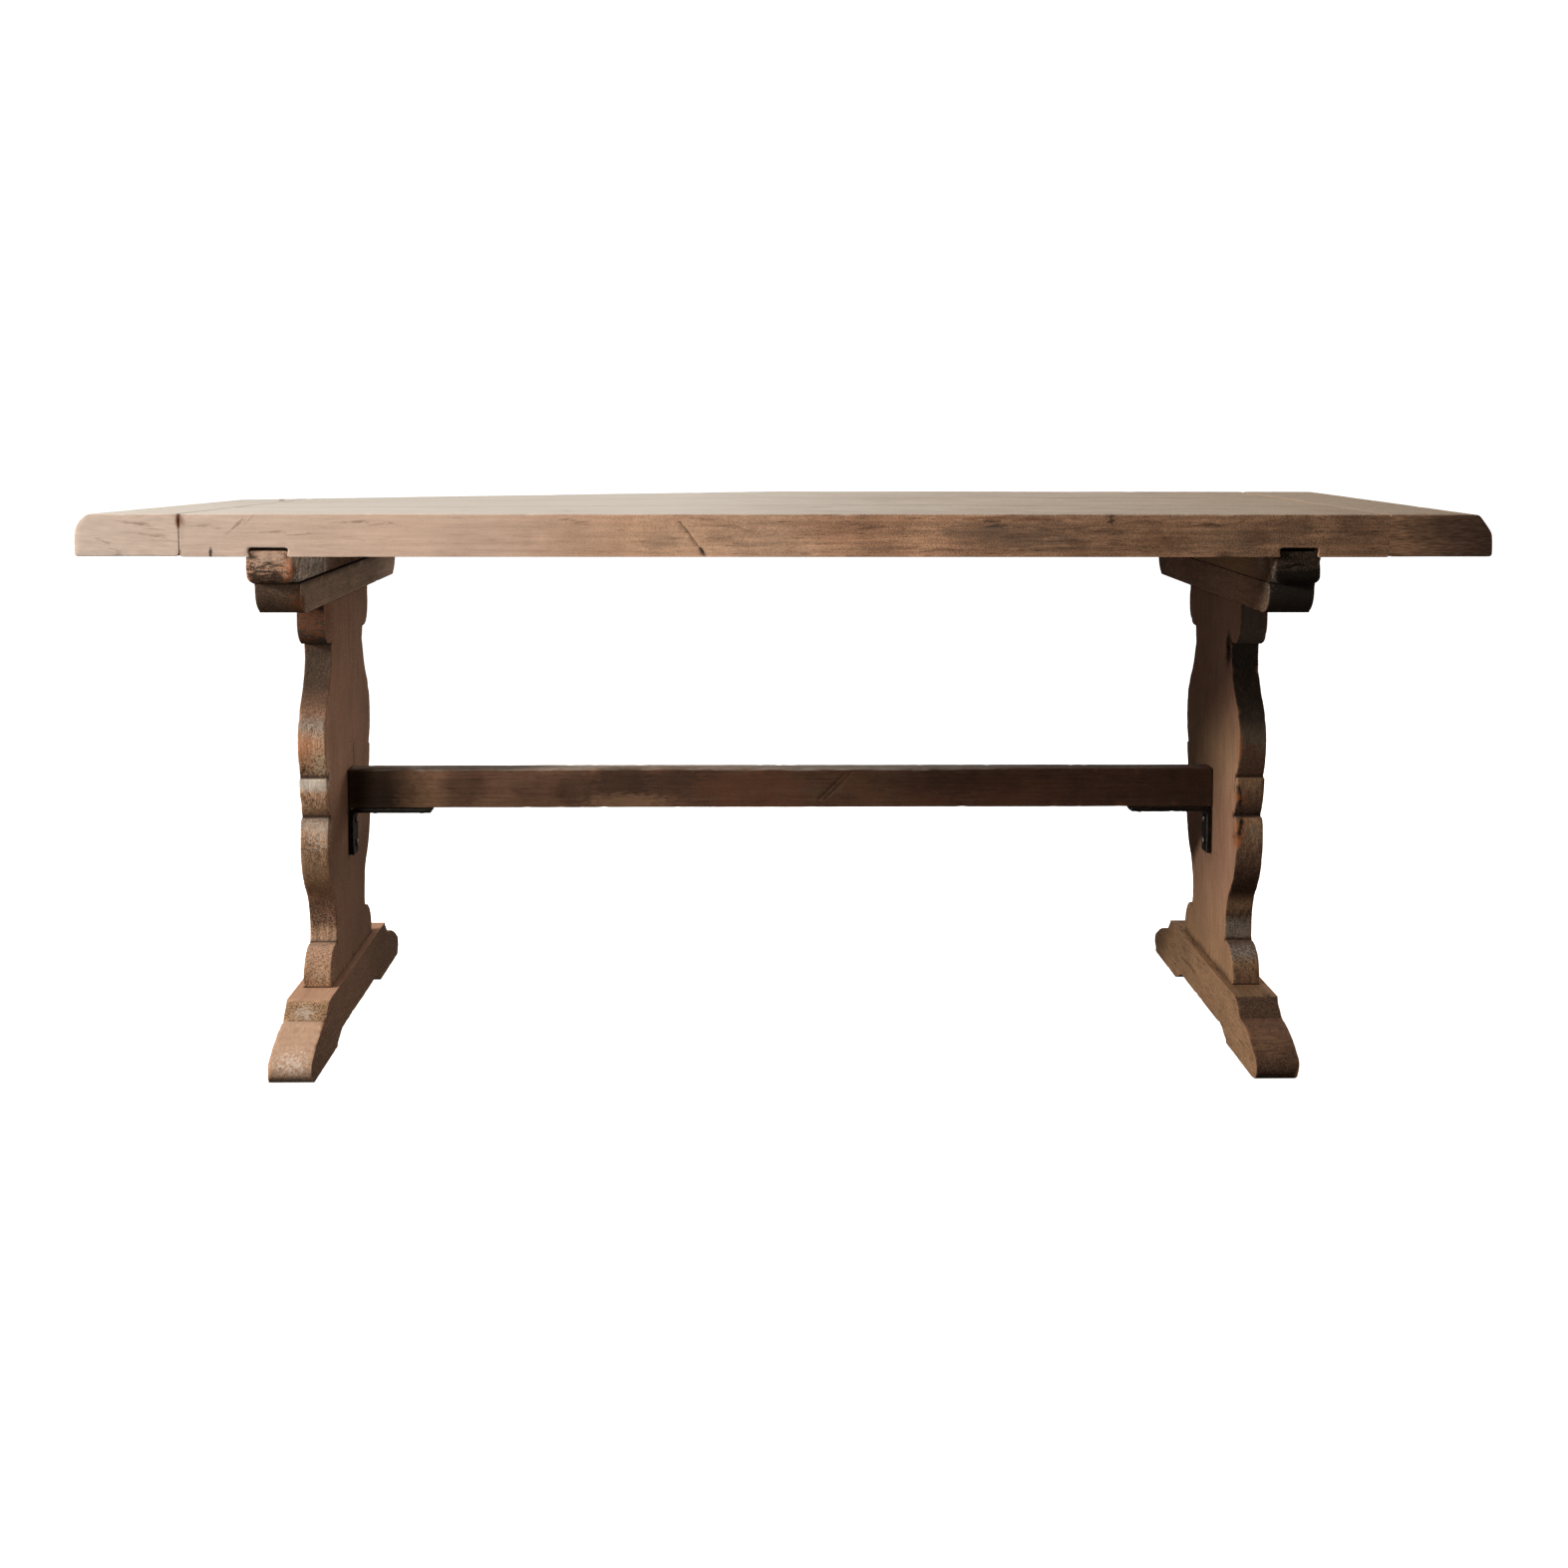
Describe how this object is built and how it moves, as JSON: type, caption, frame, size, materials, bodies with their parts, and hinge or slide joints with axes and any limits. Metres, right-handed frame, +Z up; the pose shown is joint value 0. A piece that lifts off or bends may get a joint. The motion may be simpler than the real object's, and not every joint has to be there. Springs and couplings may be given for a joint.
{
  "type": "trestle dining table",
  "caption": "Long trestle dining table with a thick plank top, vase-shaped post boards on shaped feet and a low stretcher rail.",
  "frame": {"origin": "on the floor, under the middle of the table top", "axes": "+X along the table, +Y from the front edge to the back edge, +Z up"},
  "size_m": [1.8, 0.8, 0.755],
  "materials": {
    "oak_top": "sanded and bleached solid oak, long grain",
    "oak_end_board": "sanded and bleached solid oak, worn round at its arrises",
    "oak_batten": "weathered rough oak with old grey residue",
    "oak_trestle": "stripped brown oak with paint residue in the moulded edges",
    "oak_stretcher": "dark brown waxed oak",
    "oak_peg": "cleft oak",
    "black_steel": "black painted wrought steel",
    "steel_screw": "dull tarnished steel"
  },
  "bodies": {
    "root": {"top_plank_front": "oak_top", "top_plank_middle": "oak_top", "top_plank_back": "oak_top", "end_board_left": "oak_end_board", "end_board_right": "oak_end_board", "batten_left": "oak_batten", "batten_right": "oak_batten", "head_rail_left": "oak_trestle", "head_rail_right": "oak_trestle", "post_left": "oak_trestle", "post_right": "oak_trestle", "foot_left": "oak_trestle", "foot_right": "oak_trestle", "stretcher": "oak_stretcher", "plank_spline_front": "oak_peg", "plank_spline_back": "oak_peg", "end_board_pegs_left": "oak_peg", "end_board_pegs_right": "oak_peg", "batten_dowels_left": "oak_peg", "batten_dowels_right": "oak_peg", "head_pegs_left": "oak_peg", "head_pegs_right": "oak_peg", "foot_pegs_left": "oak_peg", "foot_pegs_right": "oak_peg", "bracket_left": "black_steel", "bracket_right": "black_steel", "bracket_screws_left": "steel_screw", "bracket_screws_right": "steel_screw"}
  },
  "joints": []
}
